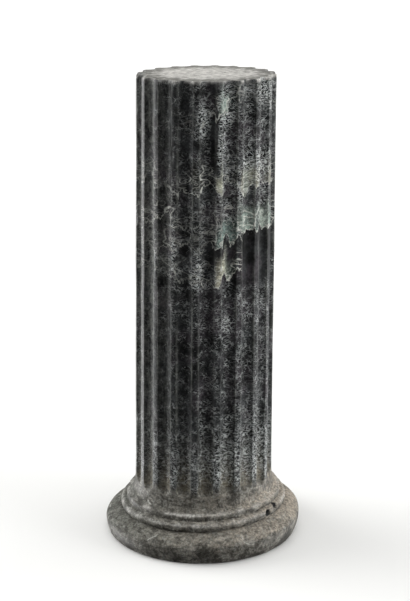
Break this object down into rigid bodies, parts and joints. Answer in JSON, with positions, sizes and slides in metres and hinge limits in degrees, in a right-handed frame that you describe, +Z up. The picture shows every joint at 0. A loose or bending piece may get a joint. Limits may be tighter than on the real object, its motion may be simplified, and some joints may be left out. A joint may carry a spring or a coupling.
{
  "type": "fluted column",
  "caption": "Free-standing fluted scagliola column with a tapering shaft, flat top and round moulded foot, used as a pedestal or as architectural ornament.",
  "frame": {"origin": "centre of the underside, on the floor", "axes": "+Z up along the axis of the shaft, front of the column towards -Y"},
  "size_m": [0.445, 0.445, 1.05],
  "materials": {
    "scagliola": "worn polish, near-black green-grey marbling with pale veins, dusty on the foot"
  },
  "bodies": {
    "root": {"column": "scagliola"}
  },
  "joints": []
}
